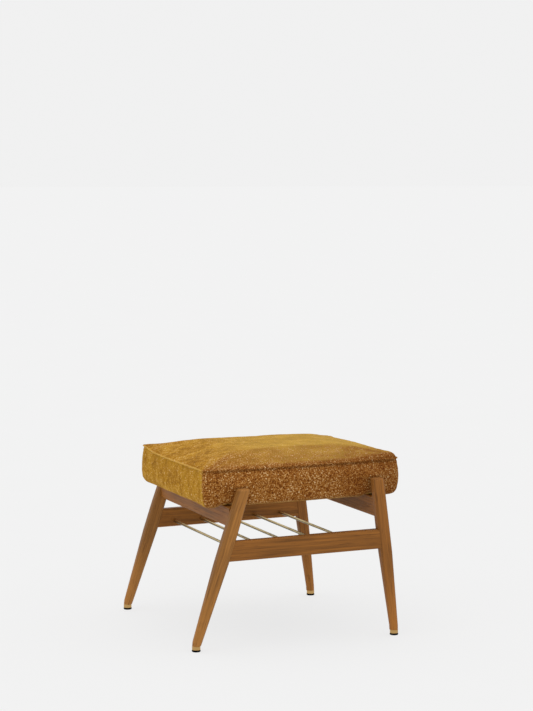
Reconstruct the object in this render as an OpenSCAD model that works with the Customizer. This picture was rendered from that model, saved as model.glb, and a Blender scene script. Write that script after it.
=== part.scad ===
// Footstool with a shelf of brass rods under a box cushion.
// Two side frames, front and rear, each have a strongly raked left leg, a slightly raked
// right leg and a rail between them. Two aprons join the frames and carry the seat.
// The origin is on the floor under the middle of the overall footprint.
// +X is to the right, +Y to the rear, +Z up. Everything is in millimetres.

/* [Feet] */
// Distance between the left and right foot centres
foot_span_x = 470; // [440:1:500]
// Distance between the front and rear foot centres
foot_span_y = 487; // [470:1:510]
// How far the feet stand to the left of the middle of the footprint
foot_shift = 8.5; // [0:0.5:12]
// Glide pad diameter
pad_d = 19; // [17:0.5:21]
// Glide pad height
pad_h = 4; // [3:0.5:6]
// Brass collar diameter
collar_d = 18.4; // [17:0.2:20]
// Brass collar height
collar_h = 8.5; // [7:0.5:12]

/* [Legs] */
// Height of the left legs' tops above the floor
left_leg_top = 348.5; // [345:0.5:352]
// Height of the right legs' tops above the floor
right_leg_top = 356; // [353:0.5:360]
// How far the left legs rake inwards from foot to top
left_leg_rake = 110; // [105:0.5:113]
// How far the right legs rake inwards from foot to top
right_leg_rake = 43.5; // [40:0.5:48]
// Leg thickness from front to rear, above the taper
leg_depth = 25; // [24:0.5:28]
// Width of the left legs at their tops
left_leg_top_w = 24.5; // [23:0.5:28]
// Width of the left legs at the rail
left_leg_rail_w = 29; // [27:0.5:31]
// Width of the left legs just above the foot
left_leg_foot_w = 20.5; // [19:0.5:22]
// Width of the right legs at their tops
right_leg_top_w = 26.5; // [25:0.5:29]
// Width of the right legs at the rail
right_leg_rail_w = 27.5; // [26:0.5:30]
// Width of the right legs just above the foot
right_leg_foot_w = 19; // [18:0.5:21]
// Corner radius of a leg, seen from above
leg_corner_r = 7; // [5:0.5:9]

/* [Rails] */
// Rail height
rail_h = 43.5; // [40:0.5:46]
// Rail thickness
rail_t = 20; // [18:0.5:20]
// Height of the rails' lower edge at the middle of the stool
rail_z = 195.5; // [195:0.5:200]
// Rise of the rails and the rod shelf towards the right, in degrees
rail_pitch = 1; // [0:0.1:1.2]
// Edge rounding of the rails and aprons
rail_edge_r = 3; // [1.5:0.5:4]

/* [Aprons] */
// Apron height
apron_h = 44; // [40:0.5:44]
// Apron thickness
apron_t = 18; // [16:0.5:19]
// Place of the left apron's outer face
left_apron_x = -163; // [-164:0.5:-160]
// Place of the right apron's inner face
right_apron_x = 181; // [179:0.5:183]

/* [Rod shelf] */
// Rod diameter
rod_d = 6; // [4:0.5:7]
// Distance between neighbouring rods
rod_pitch = 67.3; // [60:0.1:68]
// Place of the middle rod
rod_mid_x = 6.5; // [0:0.5:12]
// Height of the rod centres above the rails' lower edge
rod_rise = 13.5; // [10:0.5:20]
// Depth of the rod holes in the rails
rod_seat = 10; // [8:0.5:14]

/* [Seat] */
// Rise of the seat and aprons towards the right, in degrees
seat_pitch = 0.8; // [0:0.1:1.2]
// Cushion width at the seam, from corner to corner
seat_w = 461; // [452:1:464]
// Cushion depth at the seam, from corner to corner
seat_d = 406; // [400:1:410]
// Sideways place of the cushion's middle
seat_x = 18.5; // [16:0.5:22]
// Height of the cushion's underside at its middle
seat_z = 310.5; // [309:0.5:313]
// Height of the cushion's side band, from the underside to the seam
band_h = 78.5; // [75:0.5:82]
// Height of the crown above the seam
crown_h = 21; // [18:1:28]
// How far the left and right sides bow out between the corners
bow_x = 5; // [2:0.5:6]
// How far the front and rear sides bow out between the corners
bow_y = 12; // [8:0.5:13]
// Corner radius of the cushion at the seam, seen from above
seat_corner_r = 8; // [6:1:12]
// Rounding of the cushion's lower edge
seat_edge_r = 20; // [16:1:24]
// How far the side band bulges past the seam
band_bulge = 4.5; // [0:0.5:6]
// Plywood board thickness
board_t = 12; // [9:1:15]
// Cover fabric thickness
cover_t = 1.6; // [1.2:0.1:2.4]

/* [Hidden] */

// Colours of the materials
wood = [0.50, 0.33, 0.17];
brass = [0.80, 0.66, 0.40];
black = [0.06, 0.06, 0.06];
steel = [0.70, 0.70, 0.70];
dowel_wood = [0.80, 0.66, 0.46];
plywood = [0.78, 0.62, 0.42];
foam_grey = [0.85, 0.83, 0.78];
mustard = [0.72, 0.53, 0.17];

// Signs of the two sides and the two frames
left = -1;
right = 1;
front = -1;
rear = 1;

frame_y = foot_span_y / 2;
leg_z = pad_h + collar_h;
slab = 0.01;
clear = 1;

// Heights at which a leg's section changes
foot_top_z = leg_z + 9;
taper_top_z = 188;
rail_zone_z = 252;
cap_h = 3;
cap_inset = 2.2;

// How far the apron ends reach round the legs' rounded corners
apron_let_in = 1.5;

// Dowels, screws and staples
rail_dowel_r = 5;
rail_dowel_l = 36;
rail_dowel_gap = 22;
apron_dowel_r = 4;
apron_dowel_l = 32;
apron_dowel_gap = 20;
screw_r = 2;
collar_screw_l = 23;
seat_screw_l = 35;
seat_screw_y = 140;
staple_w = 10;
staple_t = 0.7;
staple_leg = 6;
staples_x = 11;
staples_y = 9;

// Layers under the cushion, from the underside up
cloth_t = 0.6;
board_z = cloth_t + cover_t;
board_inset = 24;
hem_w = 44;
cloth_inset = 30;
hem_staple_inset = 36;
crown_run = 120;
crown_power = 5.5;
corner_growth = 0.25;

function foot_x(side) = side * foot_span_x / 2 - foot_shift;
function leg_top(side) = side == left ? left_leg_top : right_leg_top;
function leg_rake(side) = side == left ? left_leg_rake : right_leg_rake;
function leg_slope(side) = -side * leg_rake(side) / (leg_top(side) - leg_z);
function leg_x(side, z) = foot_x(side) + leg_slope(side) * (z - leg_z);
function level_w(side, w) = w * sqrt(1 + pow(leg_slope(side), 2));
function top_w(side) = level_w(side, side == left ? left_leg_top_w : right_leg_top_w);
function rail_w(side) = level_w(side, side == left ? left_leg_rail_w : right_leg_rail_w);
function foot_w(side) = level_w(side, side == left ? left_leg_foot_w : right_leg_foot_w);

// ---- Legs ----

// One level slice of a leg: a rounded rectangle w wide and d deep, set at height z
module leg_slice(side, z, w, d, r, shift = 0) {
    for (sx = [-1, 1], sy = [-1, 1])
        translate([leg_x(side, z) + shift + sx * (w / 2 - r), sy * (d / 2 - r), z])
            cylinder(h = slab, r = r, $fn = 32);
}

// The stretch of leg beside the rail, which both the leg and the rail's end follow
module leg_rail_zone(side) {
    hull() {
        leg_slice(side, taper_top_z, rail_w(side), leg_depth, leg_corner_r);
        leg_slice(side, rail_zone_z, rail_w(side), leg_depth, leg_corner_r);
    }
}

// The stretch of leg above the rail, which the apron's end follows
module leg_upper_zone(side) {
    hull() {
        leg_slice(side, rail_zone_z, rail_w(side), leg_depth, leg_corner_r);
        leg_slice(side, leg_top(side) - cap_h, top_w(side), leg_depth, leg_corner_r);
    }
}

module leg_cap(side) {
    inner_w = top_w(side) - 2 * cap_inset;
    inner_d = leg_depth - 2 * cap_inset;
    hull() {
        leg_slice(side, leg_top(side) - cap_h, top_w(side), leg_depth, leg_corner_r);
        leg_slice(side, leg_top(side) - slab, inner_w, inner_d, leg_corner_r - cap_inset);
    }
}

module leg_taper(side) {
    foot_r = left_leg_foot_w / 2 - 0.5;
    hull() {
        leg_slice(side, foot_top_z, foot_w(side), 2 * foot_r, foot_r - 0.5);
        leg_slice(side, taper_top_z, rail_w(side), leg_depth, leg_corner_r);
    }
}

// The leg's end, trimmed to stand in line with the collar
module leg_end(side) {
    end_r = collar_d / 2 + 0.4;
    foot_r = left_leg_foot_w / 2 - 0.5;
    hull() {
        leg_slice(side, leg_z, 2 * end_r, 2 * end_r, end_r - 0.01, -side * 0.8);
        leg_slice(side, foot_top_z, foot_w(side), 2 * foot_r, foot_r - 0.5);
    }
}

module leg(side, frame) {
    difference() {
        translate([0, frame * frame_y, 0]) {
            leg_end(side);
            leg_taper(side);
            leg_rail_zone(side);
            leg_upper_zone(side);
            leg_cap(side);
        }
        rail_dowel_pair(side, frame);
        apron_dowel_pair(side, frame);
        translate([foot_x(side), frame * frame_y, leg_z - clear])
            cylinder(h = collar_screw_l, r = screw_r, $fn = 32);
    }
}

// ---- Rails ----

// Places a shape drawn on the rails' own axes: x along the rail, z up from its lower edge
module on_rail(frame) {
    translate([0, frame * frame_y, rail_z])
        rotate([0, -rail_pitch, 0])
            children();
}

// A bar with rounded long edges, lying along X from x0 to x1
module rounded_bar(x0, x1, t, h, r) {
    translate([x0, 0, 0])
        rotate([90, 0, 90])
            linear_extrude(height = x1 - x0)
                union() {
                    translate([-t / 2 + r, 0])
                        square([t - 2 * r, h]);
                    translate([-t / 2, r])
                        square([t, h - 2 * r]);
                    for (sx = [-1, 1], z = [r, h - r])
                        translate([sx * (t / 2 - r), z])
                            circle(r = r, $fn = 32);
                }
}

module rail(frame) {
    mid_z = rail_z + rail_h / 2;
    difference() {
        on_rail(frame)
            rounded_bar(leg_x(left, mid_z), leg_x(right, mid_z), rail_t, rail_h, rail_edge_r);
        translate([0, frame * frame_y, 0]) {
            leg_rail_zone(left);
            leg_rail_zone(right);
        }
        rail_dowel_pair(left, frame);
        rail_dowel_pair(right, frame);
        for (n = [1 : 5])
            rack_rod(n);
    }
}

// The two dowels at one rail end. They also cut their own holes.
module rail_dowel_pair(side, frame) {
    mid_z = rail_z + rail_h / 2;
    joint_x = leg_x(side, mid_z) - side * rail_w(side) / 2;
    on_rail(frame)
        for (sz = [-1, 1])
            translate([joint_x - rail_dowel_l / 2, 0, rail_h / 2 + sz * rail_dowel_gap / 2])
                rotate([0, 90, 0])
                    cylinder(h = rail_dowel_l, r = rail_dowel_r, $fn = 32);
}

// ---- Aprons ----

function apron_x(side) = side == left ? left_apron_x + apron_t / 2 : right_apron_x + apron_t / 2;

// Places a shape drawn on the seat's own axes, with z = 0 on the cushion's underside
module on_seat() {
    translate([seat_x, 0, seat_z])
        rotate([0, -seat_pitch, 0])
            children();
}

module apron(side) {
    end_y = frame_y - leg_depth / 2 + apron_let_in;
    difference() {
        on_seat()
            translate([apron_x(side) - seat_x, 0, -apron_h])
                rotate([0, 0, 90])
                    rounded_bar(-end_y, end_y, apron_t, apron_h, rail_edge_r);
        for (frame = [front, rear])
            translate([0, frame * frame_y, 0])
                leg_upper_zone(side);
        for (frame = [front, rear])
            apron_dowel_pair(side, frame);
        seat_screw_holes();
    }
}

// The two dowels at one apron end. They also cut their own holes.
module apron_dowel_pair(side, frame) {
    joint_y = frame_y - leg_depth / 2;
    on_seat()
        for (sz = [-1, 1])
            translate([
                apron_x(side) - seat_x,
                frame * joint_y,
                -apron_h / 2 + sz * apron_dowel_gap / 2
            ])
                rotate([90, 0, 0])
                    cylinder(h = apron_dowel_l, r = apron_dowel_r, center = true, $fn = 32);
}

// ---- Rod shelf ----

function rod_x(n) = rod_mid_x + (n - 3) * rod_pitch;

module rack_rod(n) {
    rod_l = 2 * (frame_y - rail_t / 2 + rod_seat);
    translate([0, 0, rail_z])
        rotate([0, -rail_pitch, 0])
            translate([rod_x(n), 0, rod_rise])
                rotate([90, 0, 0])
                    cylinder(h = rod_l, r = rod_d / 2, center = true, $fn = 32);
}

// ---- Feet ----

module at_foot(side, frame) {
    translate([foot_x(side), frame * frame_y, 0])
        children();
}

// Turned brass collar: a recess below for the pad, a countersunk hole for the screw
module collar(side, frame) {
    r = collar_d / 2;
    at_foot(side, frame)
        rotate_extrude($fn = 64)
            polygon([
                [7, pad_h], [r - 0.6, pad_h], [r, pad_h + 0.6], [r, leg_z - 0.6],
                [r - 0.6, leg_z], [screw_r, leg_z], [screw_r, pad_h + 5.2],
                [4, pad_h + 3], [7, pad_h + 3]
            ]);
}

module glide_pad(side, frame) {
    r = pad_d / 2;
    at_foot(side, frame)
        rotate_extrude($fn = 64)
            polygon([
                [0, 0], [r - 1, 0], [r, 1], [r, pad_h - 0.4], [r - 0.4, pad_h],
                [6.9, pad_h], [6.9, pad_h + 2.7], [0, pad_h + 2.7]
            ]);
}

// A countersunk screw standing on its head, with the head's face at z = 0
module screw(head_r, cone_h, shank_r, length) {
    rotate_extrude($fn = 32)
        polygon([
            [0, 0], [head_r, 0], [shank_r, cone_h], [shank_r, length - 4],
            [0.3, length], [0, length]
        ]);
}

module collar_screws() {
    for (side = [left, right], frame = [front, rear])
        at_foot(side, frame)
            translate([0, 0, pad_h + 3])
                screw(3.9, 2.1, screw_r, collar_screw_l);
}

// ---- Seat ----

// The four seat screws' places on the seat's own axes
module at_seat_screws() {
    on_seat()
        for (side = [left, right], sy = [-1, 1])
            translate([apron_x(side) - seat_x, sy * seat_screw_y, board_z + board_t - 3 - seat_screw_l])
                children();
}

module seat_screws() {
    at_seat_screws()
        screw(3.9, 2.1, screw_r, seat_screw_l);
}

// Clearance holes, with counterbores from the aprons' lower edges
module seat_screw_holes() {
    at_seat_screws() {
        cylinder(h = seat_screw_l + clear, r = screw_r + 0.1, $fn = 32);
        translate([0, 0, -apron_h])
            cylinder(h = apron_h + 2.2, r = 4.5, $fn = 32);
    }
}

// Outline of the cushion, inset by i. It runs round the four corners and bows between them.
// The corners are tightest at the seam, and grow rounder away from it.
function seat_corner(i, k, n) = [
    for (s = [0 : n])
        let (
            r = seat_corner_r + (i > 0 ? corner_growth * i : -i),
            sx = k == 0 || k == 3 ? 1 : -1,
            sy = k < 2 ? 1 : -1,
            a = 90 * (k + s / n)
        )
            [sx * (seat_w / 2 - i - r) + r * cos(a), sy * (seat_d / 2 - i - r) + r * sin(a)]
];

function seat_side(p, q, n) = [for (s = [1 : n - 1]) p + (q - p) * s / n];

function bowed(p) = [
    p.x + sign(p.x) * bow_x * (1 - pow(p.y / (seat_d / 2), 2)),
    p.y + sign(p.y) * bow_y * (1 - pow(p.x / (seat_w / 2), 2))
];

function seat_outline(i, n = 6) =
    let (c = [for (k = [0 : 3]) seat_corner(i, k, n)])
        [
            for (k = [0 : 3])
                each concat(c[k], seat_side(c[k][n], c[(k + 1) % 4][0], n))
        ];

// One level slice of the cushion, at height z and inset by i
module seat_slice(z, i) {
    translate([0, 0, z])
        linear_extrude(height = slab)
            polygon([for (p = seat_outline(i)) bowed(p)]);
}

// The cushion's side, inset by t, from the underside up to the height top_z
module band_solid(t, top_z) {
    r = seat_edge_r;
    hull() {
        for (a = [0, 22.5, 45, 67.5, 90])
            seat_slice(cloth_t + t + (r - t) * (1 - cos(a)), r - (r - t) * sin(a));
        seat_slice(band_h * 0.36, t - band_bulge * 0.7);
        seat_slice(band_h * 0.52, t - band_bulge);
        seat_slice(band_h * 0.76, t - band_bulge * 0.7);
        seat_slice(top_z - slab, t);
    }
}

function crown_z(d) = band_h + crown_h * (1 - pow(1 - d / crown_run, crown_power));

// The crown above the seam, inset by t
module crown_solid(t) {
    hull() {
        seat_slice(band_h, t);
        for (d = [3, 8, 16, 30, 50, 80, crown_run])
            seat_slice(crown_z(d) - t, d + t);
    }
}

// A flat layer under the cushion, inset by i, from z0 to z1
module flat_layer(z0, z1, i) {
    translate([0, 0, z0])
        linear_extrude(height = z1 - z0)
            polygon([for (p = seat_outline(i)) bowed(p)]);
}

module seat_board() {
    difference() {
        on_seat()
            flat_layer(board_z, board_z + board_t, board_inset);
        seat_screw_holes();
    }
}

module foam_core() {
    gap = 0.1;
    on_seat()
        difference() {
            union() {
                band_solid(cover_t + gap, band_h + 1);
                crown_solid(cover_t + gap);
            }
            translate([0, 0, -clear])
                flat_layer(0, board_z + board_t + clear + gap, board_inset - gap);
        }
}

module cover_band() {
    on_seat()
        difference() {
            band_solid(0, band_h);
            band_solid(cover_t, band_h + 1);
            flat_layer(-clear, board_z + clear, hem_w);
        }
}

module cover_top() {
    on_seat()
        difference() {
            crown_solid(0);
            translate([0, 0, -slab])
                crown_solid(cover_t);
        }
}

module dust_cloth() {
    difference() {
        on_seat()
            flat_layer(0, cloth_t, cloth_inset);
        seat_screw_holes();
    }
}

// One staple, driven upwards, with its crown lying against the dust cloth
module staple() {
    translate([-staple_w / 2, -staple_t / 2, -staple_t])
        cube([staple_w, staple_t, staple_t]);
    for (sx = [-1, 1])
        translate([sx * (staple_w - staple_t) / 2 - staple_t / 2, -staple_t / 2, -staple_t])
            cube([staple_t, staple_t, staple_leg + staple_t]);
}

module cover_staples() {
    half_w = seat_w / 2 - hem_staple_inset;
    half_d = seat_d / 2 - hem_staple_inset;
    on_seat() {
        for (sy = [-1, 1], n = [0 : staples_x - 1])
            translate([half_w * (2 * (n + 0.5) / staples_x - 1), sy * half_d, 0])
                staple();
        for (sx = [-1, 1], n = [0 : staples_y - 1])
            translate([sx * half_w, half_d * (2 * (n + 0.5) / staples_y - 1), 0])
                rotate([0, 0, 90])
                    staple();
    }
}

// ---- Nodes ----

module leg_front_left() { color(wood) leg(left, front); }
module leg_front_right() { color(wood) leg(right, front); }
module leg_rear_left() { color(wood) leg(left, rear); }
module leg_rear_right() { color(wood) leg(right, rear); }
module rail_front() { color(wood) rail(front); }
module rail_rear() { color(wood) rail(rear); }
module apron_left() { color(wood) apron(left); }
module apron_right() { color(wood) apron(right); }
module rack_rod_1() { color(brass) rack_rod(1); }
module rack_rod_2() { color(brass) rack_rod(2); }
module rack_rod_3() { color(brass) rack_rod(3); }
module rack_rod_4() { color(brass) rack_rod(4); }
module rack_rod_5() { color(brass) rack_rod(5); }
module collar_front_left() { color(brass) collar(left, front); }
module collar_front_right() { color(brass) collar(right, front); }
module collar_rear_left() { color(brass) collar(left, rear); }
module collar_rear_right() { color(brass) collar(right, rear); }
module pad_front_left() { color(black) glide_pad(left, front); }
module pad_front_right() { color(black) glide_pad(right, front); }
module pad_rear_left() { color(black) glide_pad(left, rear); }
module pad_rear_right() { color(black) glide_pad(right, rear); }

module rail_dowels() {
    color(dowel_wood)
        for (side = [left, right], frame = [front, rear])
            rail_dowel_pair(side, frame);
}

module apron_dowels() {
    color(dowel_wood)
        for (side = [left, right], frame = [front, rear])
            apron_dowel_pair(side, frame);
}

leg_front_left();
leg_front_right();
leg_rear_left();
leg_rear_right();
rail_front();
rail_rear();
apron_left();
apron_right();
rack_rod_1();
rack_rod_2();
rack_rod_3();
rack_rod_4();
rack_rod_5();
collar_front_left();
collar_front_right();
collar_rear_left();
collar_rear_right();
pad_front_left();
pad_front_right();
pad_rear_left();
pad_rear_right();
rail_dowels();
apron_dowels();
color(steel) collar_screws();
color(steel) seat_screws();
color(steel) cover_staples();
color(plywood) seat_board();
color(foam_grey) foam_core();
color(mustard) cover_top();
color(mustard) cover_band();
color(black) dust_cloth();
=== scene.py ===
import math

import bpy
import numpy as np
from mathutils import Euler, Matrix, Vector, kdtree


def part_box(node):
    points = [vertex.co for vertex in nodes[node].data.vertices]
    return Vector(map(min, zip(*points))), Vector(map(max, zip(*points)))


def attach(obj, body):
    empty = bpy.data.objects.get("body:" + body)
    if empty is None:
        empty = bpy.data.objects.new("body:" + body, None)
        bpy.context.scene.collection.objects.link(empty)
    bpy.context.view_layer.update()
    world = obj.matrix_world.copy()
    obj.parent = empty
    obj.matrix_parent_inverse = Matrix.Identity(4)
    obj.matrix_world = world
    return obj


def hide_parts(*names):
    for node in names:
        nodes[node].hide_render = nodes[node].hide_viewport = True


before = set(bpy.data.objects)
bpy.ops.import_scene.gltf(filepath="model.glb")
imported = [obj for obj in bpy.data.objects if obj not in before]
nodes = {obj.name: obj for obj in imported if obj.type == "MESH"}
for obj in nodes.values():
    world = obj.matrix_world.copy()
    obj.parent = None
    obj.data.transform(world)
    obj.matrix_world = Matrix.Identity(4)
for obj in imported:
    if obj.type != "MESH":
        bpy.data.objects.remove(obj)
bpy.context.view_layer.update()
scene = bpy.context.scene

# ---- Legs ----
# Four raked legs of solid beech, stained walnut and finished in a satin lacquer. Each is sawn
# square, rounded along its corners, thinned towards the foot and turned round where the brass
# collar takes over. The left pair leans far inwards, the right pair only a little.


class Wire:
    """A socket in a material's node tree. Sums written on it become Math nodes."""

    def __init__(self, finish, socket):
        self.finish, self.socket = finish, socket

    def _math(self, operation, first, second):
        return self.finish.node("ShaderNodeMath", {"operation": operation}, {0: first, 1: second})

    def __add__(self, other):
        return self._math("ADD", self, other)

    def __radd__(self, other):
        return self._math("ADD", other, self)

    def __sub__(self, other):
        return self._math("SUBTRACT", self, other)

    def __rsub__(self, other):
        return self._math("SUBTRACT", other, self)

    def __mul__(self, other):
        return self._math("MULTIPLY", self, other)

    def __rmul__(self, other):
        return self._math("MULTIPLY", other, self)

    def __abs__(self):
        return self.finish.node("ShaderNodeMath", {"operation": "ABSOLUTE"}, {0: self})

    def between(self, low, high):
        """0 below low, 1 above high, and smooth in between."""
        settings = {"interpolation_type": "SMOOTHSTEP"}
        return self.finish.node(
            "ShaderNodeMapRange", settings, {"Value": self, "From Min": low, "From Max": high}
        )


class Finish:
    """One procedural material: a Principled shader, and the nodes that feed it."""

    def __init__(self, name, **shader_values):
        self.material = bpy.data.materials.new(name)
        self.material.use_nodes = True
        self.tree = self.material.node_tree
        self.shader = self.tree.nodes["Principled BSDF"]
        for socket, value in shader_values.items():
            self.shader.inputs[socket.replace("_", " ")].default_value = value

    def node(self, kind, settings=None, inputs=None, output=0):
        """Adds a node: its type, then its settings, then the values or wires of its sockets."""
        made = self.tree.nodes.new(kind)
        for key, value in (settings or {}).items():
            if key == "stops":
                self._set_stops(made.color_ramp, value)
            else:
                setattr(made, key, value)
        for key, value in (inputs or {}).items():
            if isinstance(value, Wire):
                self.tree.links.new(value.socket, made.inputs[key])
            else:
                made.inputs[key].default_value = value
        return Wire(self, made.outputs[output])

    @staticmethod
    def _set_stops(ramp, stops):
        while len(ramp.elements) < len(stops):
            ramp.elements.new(0.5)
        for element, (position, colour) in zip(ramp.elements, stops):
            element.position = position
            element.color = (*colour, 1)

    def place(self, turn=(0, 0, 0), stretch=(1, 1, 1), shift=(0, 0, 0)):
        """Object coordinates, turned by degrees and then stretched, for a pattern."""
        space = self.node("ShaderNodeTexCoord", output="Object")
        turned = self.node(
            "ShaderNodeMapping",
            {"vector_type": "POINT"},
            {"Vector": space, "Rotation": [math.radians(a) for a in turn], "Location": shift},
        )
        return self.node("ShaderNodeMapping", {}, {"Vector": turned, "Scale": stretch})

    def facing(self, axis):
        """How far the surface faces along one axis, from -1 to 1."""
        normal = self.node("ShaderNodeNewGeometry", output="Normal")
        return self.node("ShaderNodeSeparateXYZ", {}, {"Vector": normal}, output=axis)

    def noise(self, place, scale, detail=4, roughness=0.5, distortion=0.0):
        values = {
            "Vector": place,
            "Scale": scale,
            "Detail": detail,
            "Roughness": roughness,
            "Distortion": distortion,
        }
        return self.node("ShaderNodeTexNoise", {}, values)

    def mix(self, factor, low, high):
        """Mixes two colours by a factor from 0 to 1."""
        first, second = (end if isinstance(end, Wire) else (*end, 1) for end in (low, high))
        sockets = {0: factor, 6: first, 7: second}
        return self.node("ShaderNodeMix", {"data_type": "RGBA"}, sockets, output=2)

    def feed(self, **wires):
        for socket, wire in wires.items():
            self.tree.links.new(wire.socket, self.shader.inputs[socket.replace("_", " ")])

    def bump(self, height, strength, distance):
        values = {"Height": height, "Strength": strength, "Distance": distance}
        self.feed(Normal=self.node("ShaderNodeBump", {}, values, output="Normal"))

    def put_on(self, *objects):
        for thing in objects:
            thing.data.materials.clear()
            thing.data.materials.append(self.material)


PORE = (0.085, 0.030, 0.008)
FOOT_FADE = (0.03, 0.20)


def stained_wood(name, turn, shift, stain, side_shade=0.0):
    """Beech in a walnut stain, whose grain runs along Z once the bar is turned upright.

    Side shade is how much painted shade darkens the faces towards the left and right.
    """
    wood = Finish(name, Coat_Weight=0.04, Coat_Roughness=0.4, Specular_IOR_Level=0.16)
    wander = wood.noise(wood.place(turn, (9, 9, 3.5), shift), 1.0, 3, 0.5)
    long_grain = wood.noise(wood.place(turn, (210, 210, 5), shift), 1.0, 5, 0.62, 0.35)
    figure = wood.noise(wood.place(turn, (60, 60, 3), shift), 1.0, 4, 0.55, 0.8)
    flecks = wood.noise(wood.place(turn, (520, 520, 26), shift), 1.0, 2, 0.5)
    tone = figure * 0.25 + long_grain * 0.5 + wander * 0.25
    dark, pale, foot_pale = ([channel * share for channel in stain] for share in (0.52, 1.45, 1.55))
    colour = wood.node(
        "ShaderNodeValToRGB", {"stops": [(0.38, dark), (0.50, stain), (0.62, pale)]}, {"Fac": tone}
    )
    # Painted shade: faces turned towards the left and right are darkened towards the dark stain.
    sideways = abs(wood.facing("X")).between(0.25, 0.95)
    colour = wood.mix(sideways * side_shade, colour, dark)
    # The colour turns paler from 0.20 m down to 0.03 m, towards the foot.
    level = wood.node("ShaderNodeSeparateXYZ", {}, {"Vector": wood.place()}, output="Z")
    colour = wood.mix((1 - level.between(*FOOT_FADE)) * 0.6, colour, foot_pale)
    pores = flecks.between(0.58, 0.70)
    colour = wood.mix(pores * 0.5, colour, PORE)
    wood.feed(Base_Color=colour, Roughness=0.46 + long_grain * 0.14 + pores * 0.08)
    wood.bump(long_grain * 0.6 + (1 - pores) * 0.4, 0.22, 0.0004)
    return wood


# Painted light: the left pair gets a paler stain than the right pair, as it catches more of the
# light from the left, and more painted shade on its side faces.
for side, rake, shift, stain, side_shade in (
    ("left", 18.1, (0.3, 0.1, 0), (0.288, 0.122, 0.026), 0.5),
    ("right", -7.2, (0.7, 0.4, 0), (0.262, 0.099, 0.017), 0.35),
):
    leg_wood = stained_wood(f"stained_wood_{side}_leg", (0, -rake, 0), shift, stain, side_shade)
    leg_wood.put_on(nodes[f"leg_front_{side}"], nodes[f"leg_rear_{side}"])

# ---- Rails ----
# At mid height one rail joins the two front legs and another the two rear ones. Each is a flat
# bar of the same stained beech, with its long edges eased, and dowelled into the legs.
BAR_STAIN = (0.250, 0.094, 0.015)
stained_wood("stained_wood_rail", (0, 90, 0), (0, 0.2, 0), BAR_STAIN).put_on(
    nodes["rail_front"], nodes["rail_rear"]
)

# ---- Aprons ----
# Two bars run from the front legs to the rear ones, under the seat, which is screwed to them.
# They are dowelled into the legs like the rails.
stained_wood("stained_wood_apron", (90, 0, 0), (0, 0.5, 0), BAR_STAIN).put_on(
    nodes["apron_left"], nodes["apron_right"]
)

# ---- Dowels ----
# Round beech pegs, left raw, glued into the ends of the rails and aprons. They are out of sight
# once the frame is closed.
raw_beech = Finish("raw_beech", Roughness=0.7)
peg_grain = raw_beech.noise(raw_beech.place((0, 0, 0), (300, 300, 300)), 1.0, 3)
raw_beech.feed(Base_Color=raw_beech.mix(peg_grain, (0.50, 0.34, 0.18), (0.66, 0.49, 0.29)))
raw_beech.put_on(nodes["rail_dowels"], nodes["apron_dowels"])

# ---- Rod shelf ----
# Five drawn brass rods, let into holes in the two rails. They are brushed along their length
# and lacquered. Their undersides are painted nearly black, a painted reflection of the shade below.
drawn_brass = Finish("drawn_brass", Metallic=1.0)
rod_place = drawn_brass.place((0, 0, 0), (900, 6, 900))
brushing = drawn_brass.noise(rod_place, 1.0, 3, 0.6)
tarnish = drawn_brass.noise(drawn_brass.place(), 34, 3, 0.5).between(0.42, 0.68)
bright_side = drawn_brass.mix(tarnish * 0.4, (0.70, 0.56, 0.27), (0.48, 0.36, 0.15))
# Painted shade: the undersides get a nearly black colour, and the upper sides the brass's own.
upper_side = drawn_brass.facing("Z").between(-0.25, 0.45)
drawn_brass.feed(
    Base_Color=drawn_brass.mix(upper_side, (0.100, 0.070, 0.020), bright_side),
    Roughness=0.24 + brushing * 0.12 + tarnish * 0.08,
)
drawn_brass.bump(brushing, 0.08, 0.0002)
drawn_brass.put_on(*(nodes[f"rack_rod_{number}"] for number in range(1, 6)))

# ---- Collars ----
# A turned brass ring under each leg, held by one screw up into the wood. The lathe's fine lines
# still show round it.
turned_brass = Finish("turned_brass", Metallic=1.0)
lathe_lines = turned_brass.noise(turned_brass.place((0, 0, 0), (4, 4, 2600)), 1.0, 2, 0.5)
handling = turned_brass.noise(turned_brass.place(), 90, 3, 0.5)
turned_brass.feed(
    Base_Color=turned_brass.mix(handling, (0.47, 0.28, 0.10), (0.56, 0.36, 0.14)),
    Roughness=0.20 + lathe_lines * 0.10 + handling * 0.08,
)
turned_brass.bump(lathe_lines, 0.10, 0.0001)
corners = ("front_left", "front_right", "rear_left", "rear_right")
turned_brass.put_on(*(nodes[f"collar_{corner}"] for corner in corners))

# ---- Glide pads ----
# Round black plastic pads pressed into the collars' undersides. They take the floor's scuffs.
moulded_black = Finish("moulded_black", Specular_IOR_Level=0.05)
scuffs = moulded_black.noise(moulded_black.place(), 700, 4, 0.7)
scuffed = scuffs.between(0.5, 0.75)
moulded_black.feed(
    Base_Color=moulded_black.mix(scuffed, (0.002, 0.002, 0.002), (0.009, 0.009, 0.008)),
    Roughness=0.42 + scuffs * 0.25,
)
moulded_black.bump(scuffs, 0.10, 0.0002)
moulded_black.put_on(*(nodes[f"pad_{corner}"] for corner in corners))

# ---- Screws and staples ----
# Zinc-plated steel: the collar screws, the seat screws, and the wire staples that hold the cover
# and the dust cloth under the seat.
zinc = Finish("zinc_plate", Metallic=1.0)
spangle = zinc.node("ShaderNodeTexVoronoi", {}, {"Vector": zinc.place(), "Scale": 900.0})
zinc.feed(
    Base_Color=zinc.mix(spangle, (0.62, 0.62, 0.60), (0.42, 0.43, 0.44)),
    Roughness=0.30 + spangle * 0.2,
)
zinc.put_on(nodes["collar_screws"], nodes["seat_screws"], nodes["cover_staples"])

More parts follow.
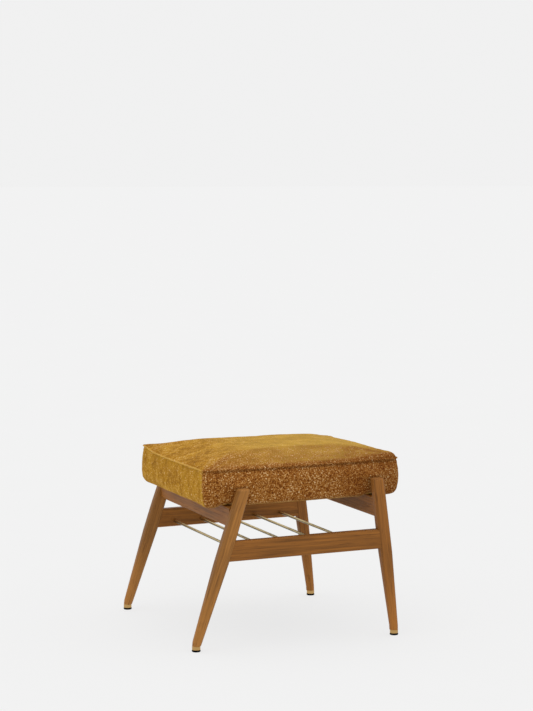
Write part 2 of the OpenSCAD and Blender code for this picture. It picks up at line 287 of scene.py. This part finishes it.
# ---- Seat board ----
# Birch plywood under the foam. The aprons' screws and all the staples bite into it.
birch_ply = Finish("birch_plywood", Roughness=0.65)
face_grain = birch_ply.noise(birch_ply.place((0, 0, 0), (4, 60, 60)), 1.0, 4, 0.6, 0.6)
plies = birch_ply.node(
    "ShaderNodeTexWave", {"bands_direction": "Z"}, {"Vector": birch_ply.place(), "Scale": 105.0}
)
birch_ply.feed(
    Base_Color=birch_ply.mix(face_grain * 0.6 + plies * 0.4, (0.44, 0.29, 0.15), (0.68, 0.52, 0.33))
)
birch_ply.put_on(nodes["seat_board"])

# ---- Seat cushion ----
# A foam block in a chenille cover: a top panel and a boxing band, joined at the top edge by a
# seam whose allowance is turned up and stitched down. The cover is drawn over the board and
# stapled underneath, and the filling pushes it out between seam and board.
SEAM_RISE = 0.0785
VOXEL = 0.004
pitch_lo, pitch_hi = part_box("dust_cloth")
CLOTH_T = 0.0006
seat_pitch = (pitch_hi.z - pitch_lo.z - CLOTH_T) / (pitch_hi.x - pitch_lo.x)
band_lo, band_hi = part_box("cover_band")
seat_mid = (band_lo + band_hi) / 2
top_lo, top_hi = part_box("cover_top")
seam_mid_z = top_lo.z + seat_pitch * (seat_mid.x - top_lo.x)


def select_nothing():
    if bpy.context.mode != "OBJECT":
        bpy.ops.object.mode_set(mode="OBJECT")
    bpy.ops.object.select_all(action="DESELECT")


def take_up(*things):
    """Selects these objects alone, with the first one active."""
    select_nothing()
    for thing in things:
        thing.hide_viewport = False
        thing.select_set(True)
    bpy.context.view_layer.objects.active = things[0]


def copy_of(node, name):
    """A loose copy of a CAD node, with its corners merged."""
    twin = bpy.data.objects.new(name, nodes[node].data.copy())
    scene.collection.objects.link(twin)
    take_up(twin)
    bpy.ops.object.mode_set(mode="EDIT")
    bpy.ops.mesh.select_all(action="SELECT")
    bpy.ops.mesh.remove_doubles(threshold=0.00001)
    bpy.ops.object.mode_set(mode="OBJECT")
    return twin


def points_of(thing):
    found = np.empty(len(thing.data.vertices) * 3)
    thing.data.vertices.foreach_get("co", found)
    return found.reshape(-1, 3)


def normals_of(thing):
    found = np.empty(len(thing.data.vertices) * 3)
    thing.data.vertices.foreach_get("normal", found)
    return found.reshape(-1, 3)


def set_points(thing, points):
    thing.data.vertices.foreach_set("co", points.ravel())
    thing.data.update()


def smooth_step(values, low, high):
    t = np.clip((values - low) / (high - low), 0, 1)
    return t * t * (3 - 2 * t)


def height_above_seam(points):
    """Height above the seam's own plane, which rises a little to the right."""
    return points[:, 2] - seam_mid_z - seat_pitch * (points[:, 0] - seat_mid.x)


layers = [copy_of(n, "seat_cushion") for n in ("foam_core", "cover_top", "cover_band", "seat_board")]
take_up(*layers)
bpy.ops.object.join()
cushion = bpy.context.object
cushion.name = "seat_cushion"
cushion.data.name = "seat_cushion"
cushion.data.remesh_voxel_size = VOXEL
cushion.data.use_remesh_preserve_volume = True
bpy.ops.object.voxel_remesh()

# The cover is shrunk a little, held at its hem and its seam, and blown up from inside, which
# crowns the top and fills the band. No point may move further than the cap.
SLACK = 0.0015
CAP = 0.008
HEM = (0.002, 0.012)
SEAM_HOLD = 0.005
STEPS = 20
start = points_of(cushion)
under = height_above_seam(start) + SEAM_RISE
seam_gap = np.abs(height_above_seam(start))
held = np.maximum(1 - smooth_step(under, *HEM), np.exp(-((seam_gap / SEAM_HOLD) ** 2)))
shrunk = start - normals_of(cushion) * (SLACK * (1 - held))[:, None]
set_points(cushion, shrunk)
pins = cushion.vertex_groups.new(name="held")
for index in np.nonzero(held > 0.02)[0]:
    pins.add([int(index)], float(held[index]), "REPLACE")
take_up(cushion)
bpy.ops.object.modifier_add(type="CLOTH")
cloth = cushion.modifiers[-1]
cloth.settings.quality = 5
cloth.settings.mass = 0.3
cloth.settings.tension_stiffness = 8
cloth.settings.compression_stiffness = 8
cloth.settings.bending_stiffness = 0.8
cloth.settings.use_pressure = True
cloth.settings.uniform_pressure_force = 5
cloth.settings.vertex_group_mass = "held"
cloth.settings.effector_weights.gravity = 0
for number in range(1, STEPS + 1):
    scene.frame_set(number)
blown = cushion.evaluated_get(bpy.context.evaluated_depsgraph_get())
swollen = np.empty(len(start) * 3)
blown.data.vertices.foreach_get("co", swollen)
bpy.ops.object.modifier_remove(modifier=cloth.name)
scene.frame_set(1)
move = swollen.reshape(-1, 3) - shrunk
length = np.linalg.norm(move, axis=1, keepdims=True)
set_points(cushion, shrunk + move * np.minimum(1, CAP / np.maximum(length, 1e-9)))
cushion.vertex_groups.clear()

take_up(cushion)
bpy.ops.object.modifier_add(type="SUBSURF")
cushion.modifiers[-1].levels = 1
cushion.modifiers[-1].render_levels = 1
bpy.ops.object.modifier_apply(modifier=cushion.modifiers[-1].name)

# Wear and upholstery have moved the plain shape a little. The corners reach outwards and the far
# left one stands up. The band is full down to a tight lower edge, presses against the legs, and
# sags where no apron bears it. The crown is fullest along the right and the rear.
BOW_X = 0.005
BOW_Y = 0.012
CORNER_REACH = 0.0045
REAR_EAR_RISE = 0.003
REAR_LEFT_EAR_RISE = 0.0055
FRONT_SEAM_DROP = 0.0006
FRONT_EAR_DROOP = 0.003
SIDE_SLACK = 0.0008
RIGHT_SLACK = 0.0012
END_FULLNESS = 0.0085
LOWER_FULLNESS = 0.0045
SIDE_SAG = 0.0012
END_SAG = 0.0050
REAR_CROWN = 0.0032
REAR_RIGHT_DIP = 0.0016
RIGHT_SHOULDER = 0.0056
CORNER_FILL = 0.0048
LEG_PRESS = 0.0110
LEG_HALF_W = 0.0135
PRESS_W = 0.017
PRESS_H = 0.008
PRESS_LIFT = 0.004
CORNER_SPAN = (0.005, 0.10)
RIM_SPAN = (0.004, 0.035)
APRON_SPAN = (0.012, 0.032)
half_w = (top_hi.x - top_lo.x) / 2 - BOW_X
half_d = (top_hi.y - top_lo.y) / 2 - BOW_Y
apron_boxes = [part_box("apron_left"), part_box("apron_right")]
leg_tops = []
for pair in ("left", "right"):
    leg_lo, leg_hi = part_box(f"leg_front_{pair}")
    top_x = leg_hi.x - LEG_HALF_W if pair == "left" else leg_lo.x + LEG_HALF_W
    leg_tops.append((top_x, leg_hi.z))


def dress(points):
    """Moves points of the plain cushion to where they lie in the worn one."""
    x = points[:, 0] - seat_mid.x
    y = points[:, 1] - seat_mid.y
    rear, front, left, right = (y > 0), (y < 0), (x < 0), (x > 0)
    inset_x = half_w + BOW_X * (1 - (y / half_d) ** 2) - np.abs(x)
    inset_y = half_d + BOW_Y * (1 - (x / half_w) ** 2) - np.abs(y)
    height = height_above_seam(points)
    up = smooth_step(height, -SEAM_RISE, 0)
    above = smooth_step(height, 0, 0.004)
    depth = np.clip(-height / SEAM_RISE, 0, 1)
    near_side = 1 - smooth_step(inset_x, *CORNER_SPAN)
    near_end = 1 - smooth_step(inset_y, *CORNER_SPAN)
    at_corner = near_side * near_end
    side_rim = 1 - smooth_step(inset_x, *RIM_SPAN)
    end_rim = 1 - smooth_step(inset_y, *RIM_SPAN)
    moved = points.copy()

    # The band: slack at the waist of the sides, full at the ends, low down and beside the legs.
    waist = smooth_step(depth, 0, 0.35) * (1 - smooth_step(depth, 0.85, 1))
    lower = smooth_step(depth, 0.45, 0.85) * (1 - 0.5 * smooth_step(depth, 0.93, 1))
    lower *= LOWER_FULLNESS * (1 - (0.15 * left + 0.9 * right) * at_corner)
    reach = CORNER_REACH * at_corner * (1 - left * front + 0.3 * right)
    slack = (SIDE_SLACK + RIGHT_SLACK * right) * waist
    moved[:, 0] += np.sign(x) * (reach + side_rim * (lower - slack))
    press = np.zeros(len(points))
    for top_x, top_z in leg_tops:
        aside = (points[:, 0] - top_x) / PRESS_W
        above_leg = (points[:, 2] - top_z - PRESS_LIFT) / PRESS_H
        press += np.exp(-(aside**2) - above_leg**2)
    full = END_FULLNESS * waist * (1 - 0.4 * near_side) + lower + LEG_PRESS * press
    moved[:, 1] += np.sign(y) * end_rim * full

    # The corners: the rear ones stand up, and the front ones droop.
    ear = REAR_EAR_RISE + REAR_LEFT_EAR_RISE * left
    moved[:, 2] += at_corner * rear * ear * up * (1 - 0.7 * smooth_step(height, 0.002, 0.015))
    moved[:, 2] -= near_end * front * FRONT_SEAM_DROP * up
    moved[:, 2] -= at_corner * front * FRONT_EAR_DROOP * (1 - 0.5 * right) * (1 - up)

    # The crown: high along the rear with a dip at its right, along the right, and at one corner.
    dome = smooth_step(inset_y, 0, 0.03) * (1 - smooth_step(inset_y, 0.10, 0.22)) * rear
    dip = dome * smooth_step(x, 0.10, 0.17) * smooth_step(inset_x, 0, 0.02)
    dome *= (1 - smooth_step(x, 0.04, 0.13)) * smooth_step(x, -0.235, -0.09)
    shoulder = smooth_step(inset_x, 0, 0.016) * (1 - smooth_step(inset_x, 0.035, 0.12)) * right
    shoulder *= smooth_step(inset_y, -0.004, 0.010) * (1 - smooth_step(y, 0.08, 0.17))
    tight = (1 - smooth_step(inset_x, 0, 0.045)) * (1 - smooth_step(inset_y, 0, 0.045))
    fill = CORNER_FILL * tight * right * front
    crown = REAR_CROWN * dome - REAR_RIGHT_DIP * dip
    moved[:, 2] += above * (crown + RIGHT_SHOULDER * shoulder + fill)

    # The lower edge: it sags where no apron bears it, and the rear one sags less.
    borne = sum(
        1 - smooth_step(np.abs(points[:, 0] - (low.x + high.x) / 2), *APRON_SPAN)
        for low, high in apron_boxes
    )
    sag = np.maximum(SIDE_SAG * side_rim, END_SAG * end_rim * (1 - borne) * (front + 0.3 * rear))
    moved[:, 2] -= sag * smooth_step(depth, 0.5, 0.95)
    return moved


# The seam's own line is cut from a plain copy of the cushion, before the cover is dressed.
take_up(cushion)
bpy.ops.object.duplicate()
seam_roll = bpy.context.object
seam_roll.name = "seam_roll"
bpy.ops.object.mode_set(mode="EDIT")
bpy.ops.mesh.select_all(action="SELECT")
bpy.ops.mesh.bisect(plane_co=(seat_mid.x, seat_mid.y, seam_mid_z), plane_no=(-seat_pitch, 0, 1))
bpy.ops.mesh.select_all(action="INVERT")
bpy.ops.mesh.delete(type="VERT")
bpy.ops.object.mode_set(mode="OBJECT")
bpy.ops.object.convert(target="CURVE")
spline = seam_roll.data.splines[0]
line = np.array([point.co[:3] for point in spline.points])

# The roll is one fold of the cover, 3.6 mm across. It pinches in and out along its stitches.
ROLL_R = 0.0018
ROLL_LIFT = 0.0012
ROLL_PROUD = 0.0005
ROLL_WANDER = 0.0003
STITCH_PITCH = 0.0065
PINCH_DEPTH = 0.00025
PINCH_SWELL = 0.14


def smooth_loop(values, reach):
    """A closed line's points, each averaged with its neighbours on both sides."""
    steps = range(-reach, reach + 1)
    return sum(np.roll(values, step, axis=0) for step in steps) / (2 * reach + 1)


line = smooth_loop(smooth_loop(line, 4), 4)
ahead = np.roll(line, -1, axis=0) - np.roll(line, 1, axis=0)
outward = np.stack([ahead[:, 1], -ahead[:, 0], np.zeros(len(line))], axis=1)
outward /= np.linalg.norm(outward, axis=1, keepdims=True)
outward *= np.sign(np.sum(outward * (line - np.array(seat_mid)), axis=1).mean())
travel = np.cumsum(np.linalg.norm(np.roll(line, -1, axis=0) - line, axis=1))
turns = 2 * np.pi * travel / travel[-1]
stitches = round(travel[-1] / STITCH_PITCH)
pinch = (
    0.5 * np.cos(turns * stitches)
    + 0.6 * np.sin(turns * 53 + 1.3 * np.sin(turns * 11))
    + 0.5 * np.sin(turns * 97 + 2.1 * np.sin(turns * 17))
)
line = dress(line)
line += outward * (ROLL_PROUD + PINCH_DEPTH * pinch)[:, None]
line[:, 2] += ROLL_LIFT + ROLL_WANDER * np.sin(turns * 41 + np.sin(turns * 13))
for point, place in zip(spline.points, line):
    point.co = (*place, 1)
for point, swell in zip(spline.points, pinch):
    point.radius = 1 + PINCH_SWELL * swell
spline.use_cyclic_u = True
seam_roll.data.bevel_depth = ROLL_R
seam_roll.data.bevel_resolution = 3
seam_roll.data.twist_mode = "Z_UP"
take_up(seam_roll)
bpy.ops.object.convert(target="MESH")
bpy.ops.object.shade_smooth()

# Under the roll the cover is drawn in by the stitches, and above it the top panel swells out.
SIDE_GROOVE = 0.0012
END_GROOVE = 0.0036
GROOVE_DROP = 0.0024
GROOVE_W = 0.0022
PUCKER_DEPTH = 0.0005
PUCKER_REACH = 0.03
PUCKER_FADE = 0.009
surface = points_of(cushion)
facing_out = normals_of(cushion)
height = height_above_seam(surface)
groove = np.exp(-(((height + GROOVE_DROP) / GROOVE_W) ** 2))
seam_points = kdtree.KDTree(len(line))
for index, place in enumerate(line):
    seam_points.insert(place, index)
seam_points.balance()
pucker = np.zeros(len(surface))
for index in np.nonzero(np.abs(height) < PUCKER_REACH)[0]:
    pucker[index] = pinch[seam_points.find(surface[index])[1]]
pucker *= np.exp(-np.abs(height) / PUCKER_FADE)
groove *= SIDE_GROOVE + (END_GROOVE - SIDE_GROOVE) * np.abs(facing_out[:, 1])
surface -= facing_out * (groove + PUCKER_DEPTH * pucker)[:, None]
set_points(cushion, dress(surface))

# Slow unevenness of the wadding, and the short lumps of the yarn.
for label, size, strength in (("wadding", 0.045, 0.0016), ("yarn", 0.006, 0.0004)):
    lumps = bpy.data.textures.new(label, "CLOUDS")
    lumps.noise_scale = size
    take_up(cushion)
    bpy.ops.object.modifier_add(type="DISPLACE")
    swelling = cushion.modifiers[-1]
    swelling.texture = lumps
    swelling.strength = strength
    bpy.ops.object.modifier_apply(modifier=swelling.name)
bpy.ops.object.shade_smooth()


LEAN_ROUNDS = 14


def mark_lean(piece):
    """Notes on each point how far the cloth there faces forward or back, averaged over 6 mm."""
    mesh = piece.data
    pairs = np.empty(len(mesh.edges) * 2, dtype=np.int32)
    mesh.edges.foreach_get("vertices", pairs)
    one, other = pairs.reshape(-1, 2).T
    lean = np.abs(normals_of(piece)[:, 1])
    count = np.bincount(one, minlength=len(lean)) + np.bincount(other, minlength=len(lean))
    for _ in range(LEAN_ROUNDS):
        total = np.bincount(one, lean[other], len(lean)) + np.bincount(other, lean[one], len(lean))
        lean = 0.4 * lean + 0.6 * total / count
    mesh.attributes.new("lean", "FLOAT", "POINT").data.foreach_set("value", lean)


mark_lean(cushion)
mark_lean(seam_roll)
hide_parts("foam_core", "cover_top", "cover_band")
for piece in (cushion, seam_roll):
    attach(piece, "root")

# The cloth is a chenille: a soft pile over a darker rust ground. Its gold is painted sheen: the
# cloth is painted golden where it faces sideways or up, and on the front and rear bands the rust
# ground and its mixed flecks show. The top, less towards its left end, and the band's corners are
# painted paler as painted sheen, and the band's right end is painted darker as painted shade.
SHEEN_PALE_TOP = (0.640, 0.460, 0.095)
SHEEN_PALE_CORNER = (0.640, 0.375, 0.030)
ROLL_HIGHLIGHT = (0.800, 0.500, 0.120)
SHADED_RIGHT_RUST = (0.110, 0.026, 0.003)


def chenille(name, highlight_share):
    """The cover's cloth. Highlight share is how much of a painted highlight lies on its pile, as on
    the seam's raised roll.
    """
    cloth = Finish(
        name, Roughness=0.95, Specular_IOR_Level=0.08, Sheen_Weight=0.14, Sheen_Roughness=0.4
    )
    cloth.shader.inputs["Sheen Tint"].default_value = (1.0, 0.78, 0.20, 1)
    fleck = cloth.noise(cloth.place(), 330, 3, 0.65)
    fine_fleck = cloth.noise(cloth.place((30, 20, 10)), 560, 2, 0.5)
    clumps = cloth.noise(cloth.place(), 78, 4, 0.6)
    patches = cloth.noise(cloth.place(), 24, 3, 0.5)

    yarns = fleck * 0.58 + fine_fleck * 0.24 + clumps * 0.10 + patches * 0.08
    ground_tones = [
        (0.38, (0.055, 0.012, 0.002)),
        (0.455, (0.180, 0.050, 0.006)),
        (0.52, (0.320, 0.122, 0.019)),
        (0.575, (0.490, 0.255, 0.074)),
        (0.635, (0.880, 0.680, 0.410)),
    ]
    ground = cloth.node("ShaderNodeValToRGB", {"stops": ground_tones}, {"Fac": yarns})
    nap = clumps * 0.35 + fleck * 0.45 + patches * 0.2
    # The golden pile colour is painted sheen.
    sheen_pile_tones = [
        (0.40, (0.190, 0.070, 0.003)),
        (0.50, (0.385, 0.172, 0.005)),
        (0.60, (0.640, 0.355, 0.040)),
    ]
    sheen_pile = cloth.node("ShaderNodeValToRGB", {"stops": sheen_pile_tones}, {"Fac": nap})
    across = cloth.node("ShaderNodeSeparateXYZ", {}, {"Vector": cloth.place()}, output="X")
    upward = cloth.facing("Z").between(0.4, 1.0)
    lean = cloth.node("ShaderNodeAttribute", {"attribute_name": "lean"}, output="Fac")
    # Painted sheen: the top is painted paler, less towards its left end.
    sheen_pile = cloth.mix(upward * across.between(-0.20, 0.05) * 0.26, sheen_pile, SHEEN_PALE_TOP)
    # Painted sheen: the band's corners and rounded edges are painted paler.
    sheen_pile = cloth.mix((1 - upward) * lean.between(0.0, 0.12) * 0.5, sheen_pile, SHEEN_PALE_CORNER)
    # Painted highlight: the pile is painted paler by the highlight share.
    sheen_pile = cloth.mix(highlight_share, sheen_pile, ROLL_HIGHLIGHT)
    # Painted shade: the rust ground is painted darker towards the band's right end.
    ground = cloth.mix(across.between(-0.15, 0.26) * 0.36, ground, SHADED_RIGHT_RUST)
    # Painted sheen: where the cloth faces sideways or up the golden pile shows, and where it faces
    # front or back the rust ground.
    sheen_free = (lean + (fleck - 0.5) * 1.1 + (clumps - 0.5) * 0.7).between(-0.08, 0.42)
    cloth.feed(Base_Color=cloth.mix(sheen_free, sheen_pile, ground))
    cloth.bump((yarns - 0.5) * (sheen_free * 0.7 + 0.3) + clumps * 0.18, 0.55, 0.0017)
    return cloth


chenille("chenille", 0.0).put_on(cushion)
# The seam roll's cloth carries a painted highlight.
chenille("chenille_fold_highlighted", 0.45).put_on(seam_roll)

# ---- Dust cloth ----
# Black non-woven cloth stapled over the hem, which keeps dust and loose threads in.
felt = Finish("black_nonwoven", Roughness=0.95, Specular_IOR_Level=0.1)
fibres = felt.noise(felt.place(), 900, 4, 0.7)
felt.feed(Base_Color=felt.mix(fibres, (0.010, 0.010, 0.011), (0.040, 0.040, 0.042)))
felt.bump(fibres, 0.4, 0.0003)
felt.put_on(nodes["dust_cloth"])

# ---- Studio ----
# A plain pale floor that glows a little, as a lit studio sweep does, so that shadows stay faint.
# Soft light comes from the whole sky, with one broad lamp high on the left and one overhead.
select_nothing()
bpy.ops.mesh.primitive_plane_add(size=400, location=(0, 0, 0))
floor = bpy.context.object
floor.name = "floor"
pale = Finish("pale_floor", Roughness=1.0, Specular_IOR_Level=0.0, Emission_Strength=1.0)
paper = pale.noise(pale.place(), 3, 2, 0.5)
pale.feed(
    Base_Color=pale.mix(paper, (0.139, 0.139, 0.139), (0.143, 0.143, 0.143)),
    Emission_Color=pale.mix(paper, (0.727, 0.727, 0.727), (0.729, 0.729, 0.729)),
)
pale.put_on(floor)

world = bpy.data.worlds.new("studio")
world.use_nodes = True
world.node_tree.nodes["Background"].inputs["Color"].default_value = (1, 1, 1, 1)
world.node_tree.nodes["Background"].inputs["Strength"].default_value = 0.878
scene.world = world

for name, place, softness, strength in (
    ("lamp_left", (-3.0, -1.6, 2.6), 50, 0.18),
    ("lamp_top", (0.3, 0.3, 3.2), 70, 0.72),
):
    lamp = bpy.data.objects.new(name, bpy.data.lights.new(name, "SUN"))
    lamp.data.angle = math.radians(softness)
    lamp.data.energy = strength
    lamp.rotation_euler = Vector(place).to_track_quat("Z", "Y").to_euler()
    scene.collection.objects.link(lamp)

camera = bpy.data.objects.new("camera", bpy.data.cameras.new("camera"))
camera.location = (-1.7486, -4.4981, 1.0227)
camera.rotation_euler = Euler((math.radians(85.18), 0, math.radians(-21.41)))
camera.data.sensor_width = 36
camera.data.lens = 107.3
camera.data.clip_end = 500
scene.collection.objects.link(camera)
scene.camera = camera
scene.view_settings.view_transform = "Standard"
